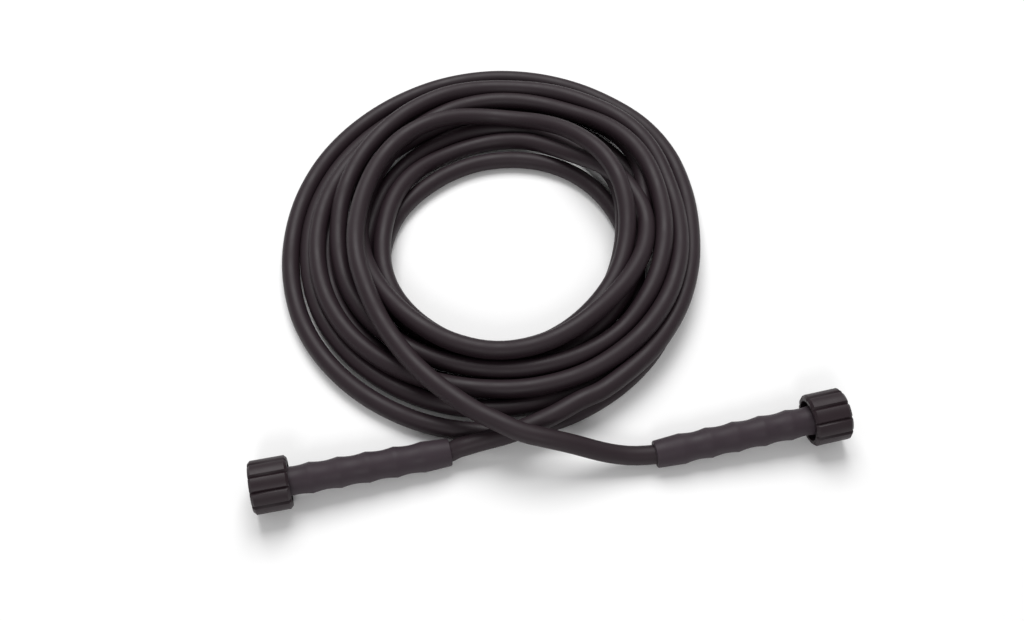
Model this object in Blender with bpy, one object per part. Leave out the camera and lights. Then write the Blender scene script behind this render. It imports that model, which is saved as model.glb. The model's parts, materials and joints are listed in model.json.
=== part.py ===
"""A high-pressure washer hose, coiled flat on the floor, with a swivel hand nut at each end.

Metres, +Z up. The floor is z = 0, and the origin is at the middle of the hose's footprint.
"""
import math

import bmesh
import bpy
from mathutils import Euler, Matrix, Vector

# Hose
HOSE_DIAMETER = 0.0127
SIDES = 10

# Coil: its rows of turns from the floor up, each lying in the grooves of the row below
COIL_CENTRE = (-0.0371, 0.0312)
COIL_RADIUS = 0.158
ROW_TURNS = (6, 3, 1)
FREE_INSIDE = (0, 1, 0)
COIL_STEPS = 40

# Clearances
SEAT_GAP = 0.0003
SWIVEL_GAP = 0.0004

# Hand nut, along its axis from its rear face to its mouth
NUT_LENGTH = 0.024
NUT_RADIUS = 0.017
NUT_CHAMFER = 0.0016
NUT_REAR_RADIUS = 0.0132
NUT_REAR_DEPTH = 0.005
NUT_WALL = 0.003
NUT_BORE_RADIUS = 0.0103
NUT_LEAD_IN = 0.001
GRIP_PADS = 10
GRIP_DEPTH = 0.0013
STEPS_PER_PAD = 5

# Stem: flange and probe inside the nut, neck in its wall, shank in the sleeve
STEM_BORE_RADIUS = 0.0023
NECK_RADIUS = 0.0068
FLANGE_RADIUS = 0.0095
FLANGE_THICKNESS = 0.0025
PROBE_RADIUS = 0.007
PROBE_LENGTH = 0.0062
PROBE_CHAMFER = 0.0006
SHANK_LENGTH = 0.034
STEM_STEPS = 24

# O-ring on the probe
O_RING_SECTION = 0.002
O_RING_GROOVE_DEPTH = 0.0018
O_RING_SIDES = 8

# Wavy strain-relief sleeve
SLEEVE_BAYS = 6
SLEEVE_BAY = 0.0178
SLEEVE_CREST_RADIUS = 0.01
SLEEVE_WAVE = 0.0006
SLEEVE_MOUTH_RADIUS = 0.0089
SLEEVE_BAY_STEPS = 4
SLEEVE_STEPS = 20

# The fittings' places: the middle of the nut's rear face, and the way that its mouth points
FITTING_TILT = math.radians(4.2)
LEFT_PLACE = (-0.1627, -0.1681)
LEFT_YAW = math.radians(193.1)
RIGHT_PLACE = (0.1688, -0.1263)
RIGHT_YAW = math.radians(11.5)

# The tails' routes between their sleeve and the coil, chosen by eye
LEFT_ROUTE = [
    (-0.0441, -0.1401, 0.0130),
    (-0.0234, -0.1350, 0.0172),
    (0.0019, -0.1243, 0.0188),
    (0.0252, -0.1102, 0.0197),
    (0.0449, -0.0968, 0.0197),
]
RIGHT_ROUTE = [
    (0.0520, -0.1478, 0.0088),
    (0.0337, -0.1470, 0.0112),
    (0.0137, -0.1446, 0.0182),
    (-0.0056, -0.1431, 0.0258),
    (-0.0215, -0.1398, 0.0324),
    (-0.0351, -0.1333, 0.0326),
    (-0.0502, -0.1243, 0.0320),
    (-0.0697, -0.1111, 0.0304),
    (-0.0830, -0.0995, 0.0290),
]
ROUTE_STEP = 2 * HOSE_DIAMETER

# Sizes that follow
HOSE_RADIUS = HOSE_DIAMETER / 2
SLEEVE_BORE_RADIUS = HOSE_RADIUS + SEAT_GAP
SLEEVE_LENGTH = SLEEVE_BAYS * SLEEVE_BAY
SLEEVE_FRONT = NUT_REAR_DEPTH - SWIVEL_GAP
SLEEVE_BACK = SLEEVE_FRONT - SLEEVE_LENGTH
WALL_FRONT = NUT_REAR_DEPTH + NUT_WALL
FLANGE_BACK = WALL_FRONT + SWIVEL_GAP
PROBE_BACK = FLANGE_BACK + FLANGE_THICKNESS
PROBE_FRONT = PROBE_BACK + PROBE_LENGTH
NECK_BACK = SLEEVE_FRONT + SEAT_GAP
SHANK_BACK = SLEEVE_FRONT - SHANK_LENGTH
O_RING_MIDDLE = PROBE_BACK + PROBE_LENGTH / 2
O_RING_GROOVE = O_RING_SECTION + 2 * SEAT_GAP
O_RING_GROOVE_RADIUS = PROBE_RADIUS - O_RING_GROOVE_DEPTH


def finish(name, colour, roughness, metallic=0.0):
    """A plain material."""
    material = bpy.data.materials.new(name)
    material.use_nodes = True
    shader = material.node_tree.nodes["Principled BSDF"]
    shader.inputs["Base Color"].default_value = (*colour, 1.0)
    shader.inputs["Roughness"].default_value = roughness
    shader.inputs["Metallic"].default_value = metallic
    return material


def shade(mesh):
    """Smooth the round faces and keep the real edges."""
    mesh.shade_smooth()
    mesh.set_sharp_from_angle(angle=math.radians(30))


def turned(name, section, axis, steps, material):
    """Turn a closed section of (along, radius) points about X or Z."""
    out = Vector((0, 0, 1)) if axis == "X" else Vector((1, 0, 0))
    along = Vector((1, 0, 0)) if axis == "X" else Vector((0, 0, 1))
    bm = bmesh.new()
    verts = [bm.verts.new(along * a + out * r) for a, r in section]
    edges = [bm.edges.new((v, verts[i - 1])) for i, v in enumerate(verts)]
    bmesh.ops.spin(bm, geom=verts + edges, cent=(0, 0, 0), axis=along,
                   angle=2 * math.pi, steps=steps, use_merge=True)
    bmesh.ops.recalc_face_normals(bm, faces=bm.faces)
    mesh = bpy.data.meshes.new(name)
    bm.to_mesh(mesh)
    bm.free()
    shade(mesh)
    mesh.materials.append(material)
    obj = bpy.data.objects.new(name, mesh)
    bpy.context.collection.objects.link(obj)
    return obj


def turn_arc(centre, first, last):
    """Points on the outside of one turn of hose, its flats touching the round."""
    radius, height = centre
    step = 360 / SIDES
    corner = HOSE_RADIUS / math.cos(math.radians(step / 2))
    count = round((last - first) / step)
    angles = [math.radians(first + step * i) for i in range(count + 1)]
    return [(height + corner * math.sin(a), radius + corner * math.cos(a)) for a in angles]


def turn_rows():
    """The middles of the turns, row by row from the floor."""
    inner = COIL_RADIUS - HOSE_RADIUS - (ROW_TURNS[0] - 1) * HOSE_DIAMETER
    height = HOSE_RADIUS
    rows = []
    for turns, free in zip(ROW_TURNS, FREE_INSIDE):
        inner += free * HOSE_DIAMETER
        rows.append([(inner + i * HOSE_DIAMETER, height) for i in range(turns)])
        inner += HOSE_RADIUS
        height += HOSE_DIAMETER * math.sin(math.radians(60))
    return rows


def over_rows(rows, level=0):
    """The outline over a row and those that lie on it, from its outermost turn inward."""
    row = rows[level]
    upper = len(rows[level + 1]) if level + 1 < len(rows) else 0
    inner_seat = FREE_INSIDE[level + 1] if upper else None
    outer_seat = inner_seat + upper if upper else None
    section = []
    for i in reversed(range(len(row))):
        start = -36 if i == len(row) - 1 else 36
        end = 216 if i == 0 else 144
        if i == outer_seat:
            section += turn_arc(row[i], start, 72) + over_rows(rows, level + 1)
        elif i == inner_seat:
            section += turn_arc(row[i], 108, end)
        elif not upper or i < inner_seat or i > outer_seat:
            section += turn_arc(row[i], start, end)
    return section


def coil_section():
    """The outline round all the turns, from the innermost along the floor and back over the top."""
    rows = turn_rows()
    section = []
    for turn in rows[0]:
        section += turn_arc(turn, 216, 324)
    return section[:-1] + over_rows(rows)[:-1]


def make_coil(material):
    """The whole coil as one ring, its turns showing all round."""
    coil = turned("hose_coil", coil_section(), "Z", COIL_STEPS, material)
    coil.location = (*COIL_CENTRE, 0)
    return coil


def nut_section():
    """The nut's wall, from its rear face over the grip to the mouth and back inside."""
    return [
        (0, NUT_REAR_RADIUS),
        (0, NUT_RADIUS - NUT_CHAMFER),
        (NUT_CHAMFER, NUT_RADIUS),
        (NUT_LENGTH - NUT_CHAMFER, NUT_RADIUS),
        (NUT_LENGTH, NUT_RADIUS - NUT_CHAMFER),
        (NUT_LENGTH, NUT_BORE_RADIUS + NUT_LEAD_IN),
        (NUT_LENGTH - NUT_LEAD_IN, NUT_BORE_RADIUS),
        (WALL_FRONT, NUT_BORE_RADIUS),
        (WALL_FRONT, NECK_RADIUS + SWIVEL_GAP),
        (NUT_REAR_DEPTH, NECK_RADIUS + SWIVEL_GAP),
        (NUT_REAR_DEPTH, NUT_REAR_RADIUS),
    ]


def make_nut(side, material):
    """A hand nut with a groove between each pair of grip pads."""
    steps = GRIP_PADS * STEPS_PER_PAD
    nut = turned(f"swivel_nut_{side}", nut_section(), "X", steps, material)
    root = NUT_RADIUS - GRIP_DEPTH
    for vertex in nut.data.vertices:
        x, y, z = vertex.co
        step = round(math.atan2(y, z) * steps / (2 * math.pi))
        radius = math.hypot(y, z)
        if step % STEPS_PER_PAD == 0 and radius > root:
            vertex.co = (x, y * root / radius, z * root / radius)
    turn = Matrix.Rotation(math.pi / GRIP_PADS, 4, "X")
    nut.data.transform(turn)
    shade(nut.data)
    return nut


def stem_section():
    """Probe with its ring groove, flange, neck and shank, round the bore."""
    groove_front = O_RING_MIDDLE + O_RING_GROOVE / 2
    groove_back = O_RING_MIDDLE - O_RING_GROOVE / 2
    return [
        (PROBE_FRONT, STEM_BORE_RADIUS),
        (PROBE_FRONT, PROBE_RADIUS - PROBE_CHAMFER),
        (PROBE_FRONT - PROBE_CHAMFER, PROBE_RADIUS),
        (groove_front, PROBE_RADIUS),
        (groove_front, O_RING_GROOVE_RADIUS),
        (groove_back, O_RING_GROOVE_RADIUS),
        (groove_back, PROBE_RADIUS),
        (PROBE_BACK, PROBE_RADIUS),
        (PROBE_BACK, FLANGE_RADIUS),
        (FLANGE_BACK, FLANGE_RADIUS),
        (FLANGE_BACK, NECK_RADIUS),
        (NECK_BACK, NECK_RADIUS),
        (NECK_BACK, HOSE_RADIUS),
        (SHANK_BACK, HOSE_RADIUS),
        (SHANK_BACK, STEM_BORE_RADIUS),
    ]


def o_ring_section():
    """A round section, clear of the bottom of its groove."""
    radius = O_RING_SECTION / 2
    centre = O_RING_GROOVE_RADIUS + SEAT_GAP + radius
    angles = [2 * math.pi * i / O_RING_SIDES for i in range(O_RING_SIDES)]
    return [(O_RING_MIDDLE + radius * math.cos(a), centre + radius * math.sin(a)) for a in angles]


def sleeve_section():
    """Hollow waves between sharp crests, narrower at the hose end, round a plain bore."""
    section = [(SLEEVE_FRONT, SLEEVE_BORE_RADIUS)]
    for bay in range(SLEEVE_BAYS):
        last = bay == SLEEVE_BAYS - 1
        far = SLEEVE_MOUTH_RADIUS if last else SLEEVE_CREST_RADIUS
        for i in range(SLEEVE_BAY_STEPS):
            share = i / SLEEVE_BAY_STEPS
            radius = SLEEVE_CREST_RADIUS + (far - SLEEVE_CREST_RADIUS) * share
            radius -= 0 if last else SLEEVE_WAVE * math.sin(math.pi * share)
            section.append((SLEEVE_FRONT - (bay + share) * SLEEVE_BAY, radius))
    section.append((SLEEVE_BACK, SLEEVE_MOUTH_RADIUS))
    section.append((SLEEVE_BACK, SLEEVE_BORE_RADIUS))
    return section


def fitting_matrix(place, yaw):
    """The fitting's frame: +X out of the mouth, the nut's rear edge on the floor."""
    height = NUT_RADIUS * math.cos(FITTING_TILT) - NUT_CHAMFER * math.sin(FITTING_TILT)
    turn = Euler((0, -FITTING_TILT, yaw)).to_matrix().to_4x4()
    return Matrix.Translation((*place, height)) @ turn


def make_fitting(side, frame, finishes):
    """Nut, stem, O-ring and sleeve of one end, on an empty that stands on the nut's axis."""
    empty = bpy.data.objects.new(f"fitting_{side}", None)
    empty.matrix_world = frame
    bpy.context.collection.objects.link(empty)
    pieces = [
        make_nut(side, finishes["nut"]),
        turned(f"stem_{side}", stem_section(), "X", STEM_STEPS, finishes["brass"]),
        turned(f"o_ring_{side}", o_ring_section(), "X", STEM_STEPS, finishes["ring"]),
        turned(f"strain_relief_{side}", sleeve_section(), "X", SLEEVE_STEPS, finishes["sleeve"]),
    ]
    for piece in pieces:
        piece.parent = empty


def between(a, b, c, d, t):
    """A point between b and c on the smooth curve through a, b, c and d."""
    return 0.5 * (2 * b + (c - a) * t + (2 * a - 5 * b + 4 * c - d) * t ** 2
                  + (3 * b - a - 3 * c + d) * t ** 3)


def smooth_route(points, step):
    """Points about a step apart on one smooth curve through the route's points."""
    fine = 16
    ends = [2 * points[0] - points[1], *points, 2 * points[-1] - points[-2]]
    dense = []
    for i in range(len(points) - 1):
        dense += [between(*ends[i:i + 4], k / fine) for k in range(fine)]
    dense.append(points[-1])
    runs = [(b - a).length for a, b in zip(dense, dense[1:])]
    count = max(2, round(sum(runs) / step))
    spacing = sum(runs) / count
    route = [dense[0]]
    walked = 0.0
    for start, end, run in zip(dense, dense[1:], runs):
        while len(route) < count and walked + run >= spacing * len(route):
            route.append(start.lerp(end, (spacing * len(route) - walked) / run))
        walked += run
    return route + [dense[-1]]


def make_tail(side, frame, route, material):
    """A length of hose from the stem's end, through the sleeve, along its route to the coil."""
    start = SHANK_BACK - SEAT_GAP
    inside = [frame @ Vector((start + (SLEEVE_BACK - start) * i / 3, 0, 0)) for i in range(4)]
    points = inside[:1] + smooth_route(inside[1:] + [Vector(p) for p in route], ROUTE_STEP)
    curve = bpy.data.curves.new(f"hose_tail_{side}", "CURVE")
    curve.dimensions = "3D"
    curve.bevel_depth = HOSE_RADIUS
    curve.bevel_resolution = SIDES // 2 - 2
    curve.use_fill_caps = True
    spline = curve.splines.new("POLY")
    spline.points.add(len(points) - 1)
    for slot, point in zip(spline.points, points):
        slot.co = (*point, 1)
    curve.materials.append(material)
    tail = bpy.data.objects.new(curve.name, curve)
    bpy.context.collection.objects.link(tail)


def build():
    """The coil, then each end's fitting and tail."""
    for old in list(bpy.data.objects):
        bpy.data.objects.remove(old)
    finishes = {
        "hose": finish("hose_rubber", (0.028, 0.025, 0.028), 0.42),
        "sleeve": finish("sleeve_rubber", (0.045, 0.041, 0.044), 0.62),
        "nut": finish("nut_plastic", (0.034, 0.028, 0.031), 0.4),
        "brass": finish("brass", (0.72, 0.52, 0.25), 0.3, 1.0),
        "ring": finish("ring_rubber", (0.02, 0.02, 0.02), 0.5),
    }
    make_coil(finishes["hose"])
    ends = (("left", LEFT_PLACE, LEFT_YAW, LEFT_ROUTE), ("right", RIGHT_PLACE, RIGHT_YAW, RIGHT_ROUTE))
    for side, place, yaw, route in ends:
        frame = fitting_matrix(place, yaw)
        make_fitting(side, frame, finishes)
        make_tail(side, frame, route, finishes["hose"])


build()
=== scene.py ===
"""The looks of a coiled pressure washer hose: the hose as it lies, its two ends, the floor and the light.

Metres, +Z up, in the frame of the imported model. The middle of the coil and the axes of the two
fittings are the places that everything else is worked out from.
"""
import json
import logging
import math
from dataclasses import dataclass
from enum import Enum

import bmesh
import bpy
import numpy as np
from mathutils import Matrix, Vector


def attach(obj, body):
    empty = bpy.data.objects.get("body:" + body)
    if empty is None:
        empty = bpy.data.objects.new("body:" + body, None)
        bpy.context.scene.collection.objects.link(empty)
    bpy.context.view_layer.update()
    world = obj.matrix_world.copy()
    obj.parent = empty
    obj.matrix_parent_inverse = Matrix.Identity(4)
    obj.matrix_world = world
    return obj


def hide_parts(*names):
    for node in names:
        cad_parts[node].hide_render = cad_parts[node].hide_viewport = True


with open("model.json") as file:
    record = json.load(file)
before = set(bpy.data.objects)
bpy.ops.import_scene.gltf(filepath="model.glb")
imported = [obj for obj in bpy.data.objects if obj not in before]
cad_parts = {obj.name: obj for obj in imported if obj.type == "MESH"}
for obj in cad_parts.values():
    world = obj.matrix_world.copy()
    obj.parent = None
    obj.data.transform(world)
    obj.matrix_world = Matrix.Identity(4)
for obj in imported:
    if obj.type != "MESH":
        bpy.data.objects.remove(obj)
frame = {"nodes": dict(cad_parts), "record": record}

logging.basicConfig(level=logging.INFO, format="%(message)s")
log = logging.getLogger("hose")


class Side(Enum):
    """One end of the hose."""

    LEFT = "left"
    RIGHT = "right"


class Slot(Enum):
    """The record's material slots."""

    HOSE = "hose_rubber"
    SLEEVE = "sleeve_rubber"
    NUT = "nut_plastic"
    BRASS = "brass"
    RING = "ring_rubber"


# What every finish's noise and bloom have in common
NOISE_DETAIL = 4.0
SHEEN_ROUGHNESS = 0.45


@dataclass(frozen=True)
class Speckle:
    """A noise that roughens and tints a surface.

    Attributes:
        grain: Cells of the noise in a metre.
        bump: Height of the grain in metres.
        tint: Share of the colour that the noise takes away at its darkest.
        gloss: Spread of the roughness about its middle value.
    """

    grain: float
    bump: float
    tint: float
    gloss: float


@dataclass(frozen=True)
class Finish:
    """A moulded or turned surface.

    Attributes:
        slot: The record's slot that it belongs to.
        colour: Linear base colour.
        roughness: Middle roughness.
        metallic: 1 for metal.
        shine: Specular level.
        sheen: Weight of a dusty bloom at grazing angles.
        fine: The grain that shows close up.
        broad: The blotches that show from afar.
    """

    slot: Slot
    colour: tuple[float, float, float]
    roughness: float
    metallic: float = 0.0
    shine: float = 0.5
    sheen: float = 0.0
    fine: Speckle = Speckle(2200.0, 0.00002, 0.12, 0.08)
    broad: Speckle = Speckle(60.0, 0.0, 0.18, 0.06)

    def material(self) -> bpy.types.Material:
        """Build the material.

        Returns:
            A Principled material whose colour, roughness and bump vary by noise.
        """
        material = bpy.data.materials.new(f"{self.slot.value}_finish")
        material.use_nodes = True
        nodes, links = material.node_tree.nodes, material.node_tree.links
        shader = nodes["Principled BSDF"]
        shader.inputs["Metallic"].default_value = self.metallic
        shader.inputs["Specular IOR Level"].default_value = self.shine
        shader.inputs["Sheen Weight"].default_value = self.sheen
        shader.inputs["Sheen Roughness"].default_value = SHEEN_ROUGHNESS
        place = nodes.new("ShaderNodeTexCoord")
        noises = []
        for speckle in (self.fine, self.broad):
            noise = nodes.new("ShaderNodeTexNoise")
            noise.inputs["Scale"].default_value = speckle.grain
            noise.inputs["Detail"].default_value = NOISE_DETAIL
            links.new(place.outputs["Object"], noise.inputs["Vector"])
            noises.append(noise)
        fine, broad = noises
        dark = tuple(c * (1 - self.fine.tint - self.broad.tint) for c in self.colour)
        blend = nodes.new("ShaderNodeMix")
        blend.data_type = "RGBA"
        blend.inputs["A"].default_value = (*dark, 1.0)
        blend.inputs["B"].default_value = (*self.colour, 1.0)
        level = nodes.new("ShaderNodeMath")
        level.operation = "ADD"
        level.use_clamp = True
        links.new(fine.outputs["Fac"], level.inputs[0])
        links.new(broad.outputs["Fac"], level.inputs[1])
        links.new(level.outputs[0], blend.inputs["Factor"])
        links.new(blend.outputs["Result"], shader.inputs["Base Color"])
        spread = self.fine.gloss + self.broad.gloss
        rough = nodes.new("ShaderNodeMapRange")
        rough.inputs["To Min"].default_value = self.roughness - spread
        rough.inputs["To Max"].default_value = self.roughness + spread
        links.new(broad.outputs["Fac"], rough.inputs["Value"])
        links.new(rough.outputs["Result"], shader.inputs["Roughness"])
        bump = nodes.new("ShaderNodeBump")
        bump.inputs["Distance"].default_value = self.fine.bump
        links.new(fine.outputs["Fac"], bump.inputs["Height"])
        links.new(bump.outputs["Normal"], shader.inputs["Normal"])
        return material


FINISHES: dict[Slot, Finish] = {
    Slot.HOSE: Finish(Slot.HOSE, (0.0195, 0.0112, 0.0150), 0.52, shine=0.29),
    Slot.SLEEVE: Finish(Slot.SLEEVE, (0.034, 0.023, 0.030), 0.56, shine=0.26, sheen=0.03,
                        broad=Speckle(90.0, 0.0, 0.45, 0.10)),
    Slot.NUT: Finish(Slot.NUT, (0.0190, 0.0105, 0.0140), 0.46, shine=0.28),
    Slot.BRASS: Finish(Slot.BRASS, (0.72, 0.52, 0.25), 0.28, metallic=1.0),
    Slot.RING: Finish(Slot.RING, (0.012, 0.012, 0.012), 0.45),
}


def finish_of(slot: Slot) -> bpy.types.Material:
    """The material of a slot, made once.

    Args:
        slot: The record's slot.

    Returns:
        Its material.
    """
    return bpy.data.materials.get(f"{slot.value}_finish") or FINISHES[slot].material()


def refinish(node: str, slot: Slot) -> bpy.types.Object:
    """Give a CAD node that stays in view its finish.

    Args:
        node: The node's name.
        slot: Its material slot.

    Returns:
        The node's object.
    """
    piece = frame["nodes"][node]
    for place in piece.material_slots:
        place.link = "OBJECT"
        place.material = finish_of(slot)
    log.info("%s keeps its shape and gets the finish of %s", node, slot.value)
    return piece


def dress(piece: bpy.types.Object, slot: Slot, body: str, *nodes: str) -> None:
    """Give a piece its finish, its body and the CAD nodes that it stands for.

    Args:
        piece: The new object, in place.
        slot: Its material slot.
        body: The CAD body that it moves with.
        nodes: The CAD nodes that it replaces.
    """
    piece.data.materials.append(finish_of(slot))
    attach(piece, body)
    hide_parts(*nodes)
    log.info("%s rides on %s and replaces %s", piece.name, body, ", ".join(nodes) or "nothing")


def between(a: np.ndarray, b: np.ndarray, c: np.ndarray, d: np.ndarray, t: float) -> np.ndarray:
    """A point between b and c on the smooth curve through a, b, c and d.

    Args:
        a, b, c, d: Four points in a row.
        t: Share of the way from b to c.

    Returns:
        The point.
    """
    return 0.5 * (2 * b + (c - a) * t + (2 * a - 5 * b + 4 * c - d) * t ** 2
                  + (3 * b - a - 3 * c + d) * t ** 3)


@dataclass(frozen=True)
class Fitting:
    """The place of one end's sleeve, stem and nut.

    Attributes:
        side: Which end.
        matrix: Its frame: +X out of the nut's mouth, from the middle of the nut's rear face.
    """

    side: Side
    matrix: Matrix

    @classmethod
    def from_record(cls, side: Side) -> "Fitting":
        """Read the fitting's axis from the hinge that its nut turns on.

        Args:
            side: Which end.

        Returns:
            The fitting.
        """
        joints = frame["record"]["behaviour"]["joints"]
        joint = next(j for j in joints if j["name"] == f"{side.value}_swivel")
        out = Vector(joint["axis"]).normalized()
        across = Vector((0, 0, 1)).cross(out).normalized()
        turn = Matrix((out, across, out.cross(across))).transposed().to_4x4()
        return cls(side, Matrix.Translation(joint["pos_m"]) @ turn)

    def on_axis(self, along: float) -> np.ndarray:
        """A point on the fitting's axis.

        Args:
            along: Its distance from the nut's rear face, towards the mouth.

        Returns:
            The point.
        """
        return np.array(self.matrix @ Vector((along, 0, 0)))


# Sizes of the ends that the hose has to know too, as in the CAD
HOSE_DIAMETER = 0.0127
SLEEVE_FRONT = 0.0046
SLEEVE_BAYS = 6
SLEEVE_BAY = 0.0178
SLEEVE_BACK = SLEEVE_FRONT - SLEEVE_BAYS * SLEEVE_BAY

# The left tail from its sleeve to the first turn, and the right one from the last turn to its
# sleeve
LEFT_TAIL = [
    (-0.0441, -0.1401, 0.0130),
    (-0.0234, -0.1350, 0.0172),
    (0.0019, -0.1243, 0.0188),
    (0.0214, -0.1128, 0.0197),
]
RIGHT_TAIL = [
    (-0.1140, -0.0550, 0.0310),
    (-0.0956, -0.0826, 0.0310),
    (-0.0755, -0.1042, 0.0315),
    (-0.0502, -0.1243, 0.0320),
    (-0.0331, -0.1338, 0.0324),
    (-0.0171, -0.1408, 0.0300),
    (-0.0016, -0.1436, 0.0235),
    (0.0149, -0.1453, 0.0155),
    (0.0339, -0.1473, 0.0098),
    (0.0524, -0.1478, 0.0080),
]

# How far each turn lies from the middle of the coil at the front, front right, right, back right,
# back, back left, left and front left. The last row only leads out of the last turn
TURNS = [
    (0.1620, 0.1510, 0.1452, 0.1585, 0.1594, 0.1508, 0.1484, 0.1565),
    (0.1605, 0.1498, 0.1348, 0.1458, 0.1450, 0.1370, 0.1357, 0.1412),
    (0.1438, 0.1372, 0.1218, 0.1197, 0.1180, 0.1130, 0.1215, 0.1265),
    (0.1278, 0.1238, 0.0985, 0.0835, 0.0710, 0.0680, 0.0785, 0.0955),
    (0.0988, 0.0978, 0.0955, 0.1060, 0.1035, 0.0955, 0.0925, 0.1095),
    (0.1123, 0.1108, 0.1095, 0.1328, 0.1315, 0.1270, 0.1275, 0.1340),
    (0.1345, 0.1400, 0.1350, 0.1390, 0.1360, 0.1205, 0.1135, 0.1165),
    (0.1195, 0.1265, 0.1230, 0.1255, 0.1230, 0.1070, 0.0970, 0.1000),
    (0.1115, 0.1093, 0.1095, 0.0890, 0.0890, 0.0805, 0.0790, 0.0930),
    (0.1055, 0.1015, 0.0960, 0.0950, 0.1040, 0.1020, 0.0965, 0.1130),
    (0.1520, 0.2020),
]

# The places in a turn that have a radius, and the share of a turn by which the front comes before +X
PLACES = 8
FRONT = 0.25

# What marks the points of the two tails in place of a turn's number
BEFORE_TURNS = -1.0
AFTER_TURNS = 10.0

# The order in which stretches of the hose lie on each other: from this turn on, this layer
LAYERS = [(BEFORE_TURNS, 5.0), (0.6, 0.0), (2.0, 1.0), (3.0, 1.5), (4.0, 2.0), (5.0, 4.0), (6.0, 7.0),
          (7.0, 8.0), (8.15, 6.0), (9.0, 5.5), (9.24, 10.0)]


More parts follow.
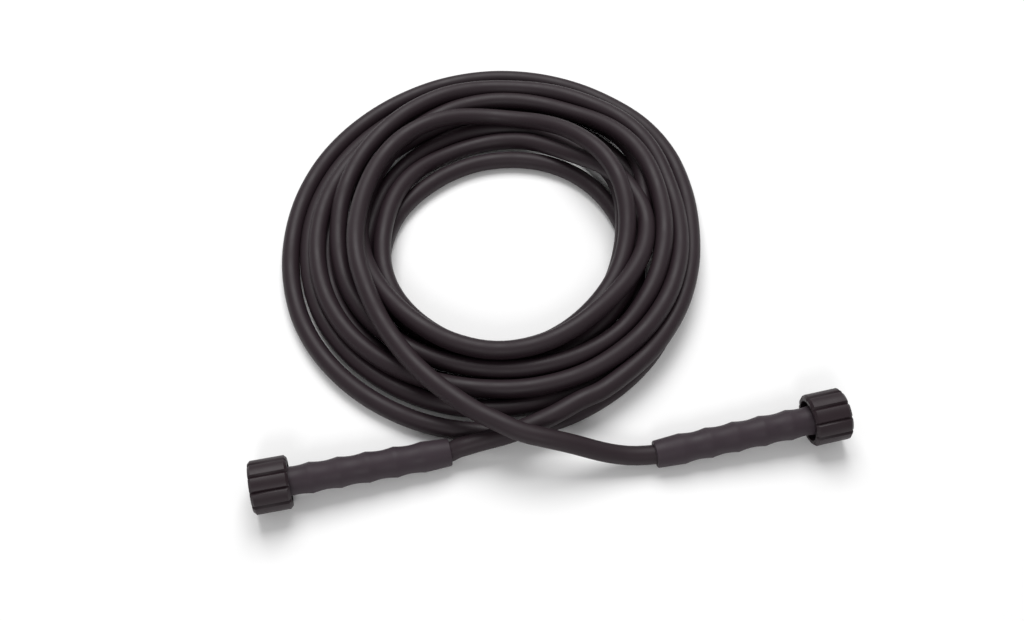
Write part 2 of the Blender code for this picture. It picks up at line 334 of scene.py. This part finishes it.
@dataclass(frozen=True)
class Hose:
    """The whole hose: a tail, nearly ten turns that lie on each other, and the other tail.

    Attributes:
        left: The left fitting.
        right: The right fitting.
        centre: The middle of the coil.
        length: Real length of the hose. Not used.
        steps: Points in a turn.
        first: The turn that the left tail leads into, counted from the front.
        last: The turn that the right tail leaves.
        fine: Points from one knot to the next, before the line is spaced evenly.
        pace: Distance between the points of the finished line.
        hidden: How far the hose goes into each sleeve.
        later: What each turn adds to its layer, so that of two in one layer the later lies above.
        reach: Gap up to which two stretches are looked at as a pair.
        own: Length of hose within which it doesn't lie on itself.
        stiffness: Radius of the hump where it lies over another stretch.
        hump: How far a hump goes to each side.
        blur: Spread of the smoothing of the heights.
        blur_steps: Points to each side that the smoothing takes in.
        rounds: Passes that the heights take to settle.
        bevel: How finely the tube is rounded.
    """

    left: Fitting
    right: Fitting
    centre: tuple[float, float] = (-0.0371, 0.0312)
    length: float = 7.6
    steps: int = 24
    first: float = 0.08
    last: float = 9.84
    fine: int = 12
    pace: float = 0.006
    hidden: float = 0.012
    later: float = 0.001
    reach: float = 0.002
    own: float = 0.06
    stiffness: float = 0.09
    hump: float = 0.06
    blur: float = 0.014
    blur_steps: int = 4
    rounds: int = 14
    bevel: int = 7

    def coiled(self) -> list[tuple[float, float, float, float]]:
        """The turns' own points.

        Returns:
            Points (x, y, z, turn), all at the height of a hose on the floor.
        """
        radii = [r for turn in TURNS for r in turn]
        radii.insert(0, 2 * radii[0] - radii[1])
        points = []
        for i in range(math.ceil(self.first * self.steps), int(self.last * self.steps) + 1):
            turn = i / self.steps
            knot, share = divmod(turn * PLACES, 1)
            radius = between(*radii[int(knot):int(knot) + 4], share)
            angle = 2 * math.pi * (turn - FRONT)
            points.append((self.centre[0] + radius * math.cos(angle),
                           self.centre[1] + radius * math.sin(angle), HOSE_DIAMETER / 2, turn))
        return points

    def line(self) -> np.ndarray:
        """The hose's line as seen from above, before it settles.

        Returns:
            Rows (x, y, z, turn) a pace apart, from the left sleeve's mouth to the right one's.
        """
        tails = [[(*p, BEFORE_TURNS) for p in LEFT_TAIL], [(*p, AFTER_TURNS) for p in RIGHT_TAIL]]
        start = (*self.left.on_axis(SLEEVE_BACK), BEFORE_TURNS)
        end = (*self.right.on_axis(SLEEVE_BACK), AFTER_TURNS)
        knots = np.array([start, *tails[0], *self.coiled(), *tails[1], end])
        ends = np.vstack([2 * knots[0] - knots[1], knots, 2 * knots[-1] - knots[-2]])
        dense = [between(*ends[i:i + 4], k / self.fine)
                 for i in range(len(knots) - 1) for k in range(self.fine)]
        dense = np.array([*dense, knots[-1]])
        nearest = np.minimum(np.round(np.arange(len(dense)) / self.fine).astype(int), len(knots) - 1)
        dense[:, 3] = knots[nearest, 3]
        walked = np.concatenate([[0], np.cumsum(np.linalg.norm(np.diff(dense[:, :3], axis=0), axis=1))])
        stations = np.linspace(0, walked[-1], round(walked[-1] / self.pace) + 1)
        rows = [np.interp(stations, walked, dense[:, k]) for k in range(3)]
        turn = dense[np.clip(np.searchsorted(walked, stations), 0, len(dense) - 1), 3]
        return np.stack([*rows, turn], axis=1)

    def crossings(self, line: np.ndarray) -> tuple[np.ndarray, np.ndarray, np.ndarray]:
        """Where one stretch lies on another.

        Args:
            line: Rows (x, y, z, turn).

        Returns:
            The lower row of each pair, the upper one, and how much higher the upper one has to be.
        """
        flat = line[:, :2]
        starts, layers = np.array(LAYERS).T
        layer = layers[np.searchsorted(starts, line[:, 3], side="right") - 1] + self.later * line[:, 3]
        along = np.gradient(flat, axis=0)
        along /= np.linalg.norm(along, axis=1)[:, None]
        apart = np.linalg.norm(flat[:, None] - flat[None], axis=2)
        order = np.arange(len(line))
        far = abs(order[:, None] - order[None]) * self.pace > self.own
        near = apart < HOSE_DIAMETER + self.reach
        lower, upper = np.nonzero(near & far & (layer[:, None] < layer[None]))
        gap = flat[lower] - flat[upper]
        beside = abs(gap[:, 0] * along[lower, 1] - gap[:, 1] * along[lower, 0])
        abreast = abs((gap * along[lower]).sum(axis=1))
        kept = (beside < HOSE_DIAMETER) & (abreast <= self.pace)
        lower, upper, beside = lower[kept], upper[kept], beside[kept]
        return lower, upper, np.sqrt(HOSE_DIAMETER ** 2 - beside ** 2)

    def settle(self, line: np.ndarray) -> np.ndarray:
        """Let each stretch down until it rests on the floor or on the stretches below it.

        Args:
            line: Rows (x, y, z, turn).

        Returns:
            The height of each row. A tail is no lower than its own points.
        """
        lower, upper, lift = self.crossings(line)
        tail = (line[:, 3] < 0) | (line[:, 3] >= AFTER_TURNS)
        floor = np.where(tail, np.maximum(line[:, 2], HOSE_DIAMETER / 2), HOSE_DIAMETER / 2)
        sides = range(1, round(self.hump / self.pace) + 1)
        drops = [(k, (k * self.pace) ** 2 / (2 * self.stiffness)) for k in sides]
        offsets = np.arange(-self.blur_steps, self.blur_steps + 1) * self.pace
        weights = np.exp(-(offsets / self.blur) ** 2 / 2)
        weights /= weights.sum()
        height = floor.copy()
        for _ in range(self.rounds):
            needed = floor.copy()
            np.maximum.at(needed, upper, height[lower] + lift)
            hump = needed.copy()
            for k, drop in drops:
                hump[k:] = np.maximum(hump[k:], needed[:-k] - drop)
                hump[:-k] = np.maximum(hump[:-k], needed[k:] - drop)
            height = np.convolve(np.pad(hump, self.blur_steps, mode="edge"), weights, "valid")
            height = np.maximum(height, HOSE_DIAMETER / 2)
        return height

    def route(self) -> np.ndarray:
        """The settled hose, with the two ends that go into the sleeves.

        Returns:
            Points (x, y, z) in a row.
        """
        line = self.line()
        line[:, 2] = self.settle(line)
        inside = [SLEEVE_BACK + self.hidden, SLEEVE_BACK]
        start = [self.left.on_axis(x) for x in inside]
        end = [self.right.on_axis(x) for x in reversed(inside)]
        return np.vstack([start, line[1:-1, :3], end])

    def build(self) -> bpy.types.Object:
        """Returns:
            The curve object.
        """
        route = self.route()
        run = float(np.linalg.norm(np.diff(route, axis=0), axis=1).sum())
        curve = bpy.data.curves.new("hose", "CURVE")
        curve.dimensions = "3D"
        curve.bevel_depth = HOSE_DIAMETER / 2
        curve.bevel_resolution = self.bevel
        curve.use_fill_caps = True
        spline = curve.splines.new("POLY")
        spline.points.add(len(route) - 1)
        for knot, point in zip(spline.points, route):
            knot.co = (*point, 1)
        spline.use_smooth = True
        hose = bpy.data.objects.new("hose", curve)
        bpy.context.collection.objects.link(hose)
        dress(hose, Slot.HOSE, "hose", "hose_coil", "hose_tail_left", "hose_tail_right")
        top = route[:, 2].max() + HOSE_DIAMETER / 2
        log.info("the hose is %.2f m long and its top is %.1f mm up", run, 1000 * top)
        return hose

    def declare(self) -> None:
        start = self.left.on_axis(SLEEVE_BACK + self.hidden)


Profile = list[tuple[float, float]]


def skin(bm: bmesh.types.BMesh, rings: list[list[bmesh.types.BMVert]]) -> None:
    """Join outlines that go round an axis into one closed wall.

    Args:
        bm: The mesh that the outlines are in.
        rings: The outlines in order, all with the same number of vertices.
    """
    for ring, following in zip(rings, rings[1:] + rings[:1]):
        for k in range(len(ring)):
            bm.faces.new((ring[k - 1], ring[k], following[k], following[k - 1]))


def turned(name: str, section: Profile, steps: int, matrix: Matrix) -> bpy.types.Object:
    """Turn a closed section about the fitting's axis.

    Args:
        name: The object's name.
        section: Closed outline of (along, radius) points.
        steps: Faces round the axis.
        matrix: The fitting's frame.

    Returns:
        The object, with its vertices in the row frame.
    """
    bm = bmesh.new()
    rings = []
    for i in range(steps):
        angle = 2 * math.pi * i / steps
        rings.append([bm.verts.new((x, r * math.sin(angle), r * math.cos(angle))) for x, r in section])
    skin(bm, rings)
    return finish_mesh(name, bm, matrix)


def finish_mesh(name: str, bm: bmesh.types.BMesh, matrix: Matrix, sharp: float = 35.0) -> bpy.types.Object:
    """Turn a bmesh into an object with smooth faces and sharp edges.

    Args:
        name: The object's name.
        bm: The mesh, which is freed.
        matrix: The frame that its vertices are in.
        sharp: Angle in degrees from which an edge is sharp.

    Returns:
        The object.
    """
    bmesh.ops.recalc_face_normals(bm, faces=bm.faces)
    mesh = bpy.data.meshes.new(name)
    bm.to_mesh(mesh)
    bm.free()
    mesh.transform(matrix)
    mesh.shade_smooth()
    mesh.set_sharp_from_angle(angle=math.radians(sharp))
    piece = bpy.data.objects.new(name, mesh)
    bpy.context.collection.objects.link(piece)
    return piece


@dataclass(frozen=True)
class Sleeve:
    """The wavy strain relief.

    Attributes:
        fitting: Where it is.
        crest: Radius at the crests.
        mouth: Radius at the hose's end.
        wave: Depth of the hollows between the crests.
        bore: Radius of the bore.
        edge: Rounding of the crests and ends.
        bay_steps: Points along a bay.
        steps: Faces round it.
    """

    fitting: Fitting
    crest: float = 0.0100
    mouth: float = 0.0089
    wave: float = 0.0010
    bore: float = 0.00665
    edge: float = 0.0005
    bay_steps: int = 10
    steps: int = 72

    def section(self) -> Profile:
        """The wall's outline, from the nut's end to the hose's and back along the bore.

        Returns:
            Points (along, radius).
        """
        section = [(SLEEVE_FRONT, self.bore), (SLEEVE_FRONT, self.crest - self.edge)]
        for bay in range(SLEEVE_BAYS):
            last = bay == SLEEVE_BAYS - 1
            far = self.mouth if last else self.crest
            for i in range(1 if bay == 0 else 0, self.bay_steps):
                share = i / self.bay_steps
                radius = self.crest + (far - self.crest) * share
                radius -= 0 if last else self.wave * math.sin(math.pi * share)
                section.append((SLEEVE_FRONT - (bay + share) * SLEEVE_BAY, radius))
        section.append((SLEEVE_BACK + self.edge, self.mouth))
        section.append((SLEEVE_BACK, self.mouth - self.edge))
        section.append((SLEEVE_BACK, self.bore))
        return section

    def build(self) -> bpy.types.Object:
        """Make the sleeve.

        Returns:
            Its object.
        """
        name = f"sleeve_{self.fitting.side.value}"
        sleeve = turned(name, self.section(), self.steps, self.fitting.matrix)
        dress(sleeve, Slot.SLEEVE, "hose", f"strain_relief_{self.fitting.side.value}")
        return sleeve


@dataclass(frozen=True)
class Nut:
    """The hand nut, with grip pads outside and a thread inside.

    Attributes:
        fitting: Where it is.
        length: From the rear face to the mouth.
        radius: Over the pads.
        chamfer: At both ends of the pads.
        rear_bore: Radius of the recess in the rear face.
        rear_depth: Depth of that recess.
        wall: Thickness of the wall that the stem's neck goes through.
        neck: Radius of the hole in that wall.
        bore: Radius of the threaded bore.
        lead: Chamfer at the mouth of the bore.
        thread_depth: Height of the thread.
        thread_pitch: Pitch of the thread.
        thread_steps: Points along one pitch.
        relief: Of those points, how many stay plain behind the thread.
        pads: Number of grip pads.
        groove_depth: Depth of the grooves between them.
        groove_share: Share of the round that the grooves take.
        crown: How much lower a pad is at its sides than in its middle.
        pad_steps: Faces round one pad and groove.
    """

    fitting: Fitting
    length: float = 0.0240
    radius: float = 0.0170
    chamfer: float = 0.0016
    rear_bore: float = 0.0132
    rear_depth: float = 0.0050
    wall: float = 0.0030
    neck: float = 0.0072
    bore: float = 0.0103
    lead: float = 0.001
    thread_depth: float = 0.0006
    thread_pitch: float = 0.0015
    thread_steps: int = 4
    relief: int = 2
    pads: int = 10
    groove_depth: float = 0.0013
    groove_share: float = 0.26
    crown: float = 0.0003
    pad_steps: int = 16

    def outer(self, angle: float, full: float) -> float:
        """The outer radius in a direction.

        Args:
            angle: Direction round the axis.
            full: Radius over the pads at this place along the axis.

        Returns:
            The radius there.
        """
        place = (angle * self.pads / (2 * math.pi)) % 1.0
        from_groove = min(place, 1 - place) * 2
        share = min(1.0, from_groove / self.groove_share)
        rise = share * share * (3 - 2 * share)
        return full - self.groove_depth * (1 - rise) - self.crown * (1 - from_groove) ** 2

    def build(self) -> bpy.types.Object:
        """Make the nut.

        Returns:
            Its object.
        """
        steps = self.pads * self.pad_steps
        wall_front = self.rear_depth + self.wall
        outside = [(0.0, self.radius - self.chamfer, True), (self.chamfer, self.radius, True),
                   (self.length * 0.5, self.radius, True),
                   (self.length - self.chamfer, self.radius, True),
                   (self.length, self.radius - self.chamfer, True)]
        mouth = self.length - self.lead
        inside = [(self.length, self.bore + self.lead, False), (mouth, self.bore, False)]
        rows = int((mouth - wall_front) / (self.thread_pitch / self.thread_steps))
        thread = [(mouth - (i + 1) * self.thread_pitch / self.thread_steps, self.bore, False)
                  for i in range(rows - self.relief)]
        behind = [(wall_front, self.bore, False), (wall_front, self.neck, False),
                  (self.rear_depth, self.neck, False), (self.rear_depth, self.rear_bore, False),
                  (0.0, self.rear_bore, False)]
        section = outside + inside + thread + behind
        threaded = range(len(outside + inside), len(outside + inside + thread))
        bm = bmesh.new()
        rings = []
        for i in range(steps):
            angle = 2 * math.pi * i / steps
            ring = []
            for k, (x, r, lobed) in enumerate(section):
                radius = self.outer(angle, r) if lobed else r
                if k in threaded:
                    phase = (x / self.thread_pitch - i / steps) % 1.0
                    radius -= self.thread_depth * (1 - abs(2 * phase - 1))
                ring.append(bm.verts.new((x, radius * math.sin(angle), radius * math.cos(angle))))
            rings.append(ring)
        skin(bm, rings)
        name = f"nut_{self.fitting.side.value}"
        nut = finish_mesh(name, bm, self.fitting.matrix)
        dress(nut, Slot.NUT, f"{self.fitting.side.value}_nut", f"swivel_nut_{self.fitting.side.value}")
        return nut


@dataclass(frozen=True)
class Softbox:
    """A square soft light that faces the origin.

    Attributes:
        name: The light's name.
        place: Where it hangs.
        side: Side of the square.
        power: Watts.
    """

    name: str
    place: tuple[float, float, float]
    side: float
    power: float

    def hang(self) -> None:
        """Put the light in the scene."""
        data = bpy.data.lights.new(self.name, "AREA")
        data.shape = "SQUARE"
        data.size = self.side
        data.energy = self.power
        light = bpy.data.objects.new(self.name, data)
        light.location = self.place
        light.rotation_euler = (-Vector(self.place)).to_track_quat("-Z", "Y").to_euler()
        bpy.context.collection.objects.link(light)


SOFTBOXES = [
    Softbox("key", (-0.10, 0.82, 1.50), 1.1, 25.0),
    Softbox("front", (-0.10, -1.50, 1.20), 0.5, 7.0),
]


@dataclass(frozen=True)
class Studio:
    """The floor, the light and the camera.

    Attributes:
        target: The point on the floor that the camera looks at.
        distance: From the camera to that point.
        elevation: Height of the view in degrees.
        lens: Focal length in millimetres.
        sensor: Sensor width in millimetres.
        nearest: Distance from which the camera sees.
        floor: Side of the floor.
        floor_grey: Its linear colour, the same in all channels.
        floor_roughness: Its roughness.
        floor_shine: Its specular level.
        fill: Strength of the white world.
    """

    target: tuple[float, float, float] = (-0.0234, -0.0313, 0.0)
    distance: float = 0.714
    elevation: float = 58.0
    lens: float = 35.16
    sensor: float = 36.0
    nearest: float = 0.01
    floor: float = 14.0
    floor_grey: float = 0.93
    floor_roughness: float = 0.9
    floor_shine: float = 0.1
    fill: float = 0.42

    def camera(self) -> None:
        """Put the camera at the photograph's angle."""
        data = bpy.data.cameras.new("camera")
        data.lens = self.lens
        data.sensor_width = self.sensor
        data.clip_start = self.nearest
        camera = bpy.data.objects.new("camera", data)
        rise = math.radians(self.elevation)
        away = Vector((0, -math.cos(rise), math.sin(rise))) * self.distance
        camera.location = Vector(self.target) + away
        camera.rotation_euler = (math.pi / 2 - rise, 0, 0)
        bpy.context.collection.objects.link(camera)
        bpy.context.scene.camera = camera

    def ground(self) -> None:
        """Lay the pale floor."""
        bm = bmesh.new()
        half = self.floor / 2
        corners = [bm.verts.new((x * half, y * half, 0)) for x, y in ((-1, -1), (1, -1), (1, 1), (-1, 1))]
        bm.faces.new(corners)
        mesh = bpy.data.meshes.new("floor")
        bm.to_mesh(mesh)
        bm.free()
        floor = bpy.data.objects.new("floor", mesh)
        material = bpy.data.materials.new("floor")
        material.use_nodes = True
        shader = material.node_tree.nodes["Principled BSDF"]
        shader.inputs["Base Color"].default_value = (*(self.floor_grey,) * 3, 1)
        shader.inputs["Roughness"].default_value = self.floor_roughness
        shader.inputs["Specular IOR Level"].default_value = self.floor_shine
        mesh.materials.append(material)
        bpy.context.collection.objects.link(floor)

    def light(self) -> None:
        """Hang the soft lights and set the world's fill."""
        world = bpy.data.worlds.new("studio")
        world.use_nodes = True
        world.node_tree.nodes["Background"].inputs["Color"].default_value = (1, 1, 1, 1)
        world.node_tree.nodes["Background"].inputs["Strength"].default_value = self.fill
        bpy.context.scene.world = world
        for softbox in SOFTBOXES:
            softbox.hang()
        bpy.context.scene.view_settings.view_transform = "Standard"


def main() -> None:
    """Build the scene."""
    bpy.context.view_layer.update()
    studio = Studio()
    studio.camera()
    fittings = {side: Fitting.from_record(side) for side in Side}
    hose = Hose(fittings[Side.LEFT], fittings[Side.RIGHT])
    tube = hose.build()
    for side, fitting in fittings.items():
        Sleeve(fitting).build()
        Nut(fitting).build()
        refinish(f"stem_{side.value}", Slot.BRASS)
        refinish(f"o_ring_{side.value}", Slot.RING)
    hose.declare()
    studio.ground()
    studio.light()


if __name__ == "__main__":
    main()
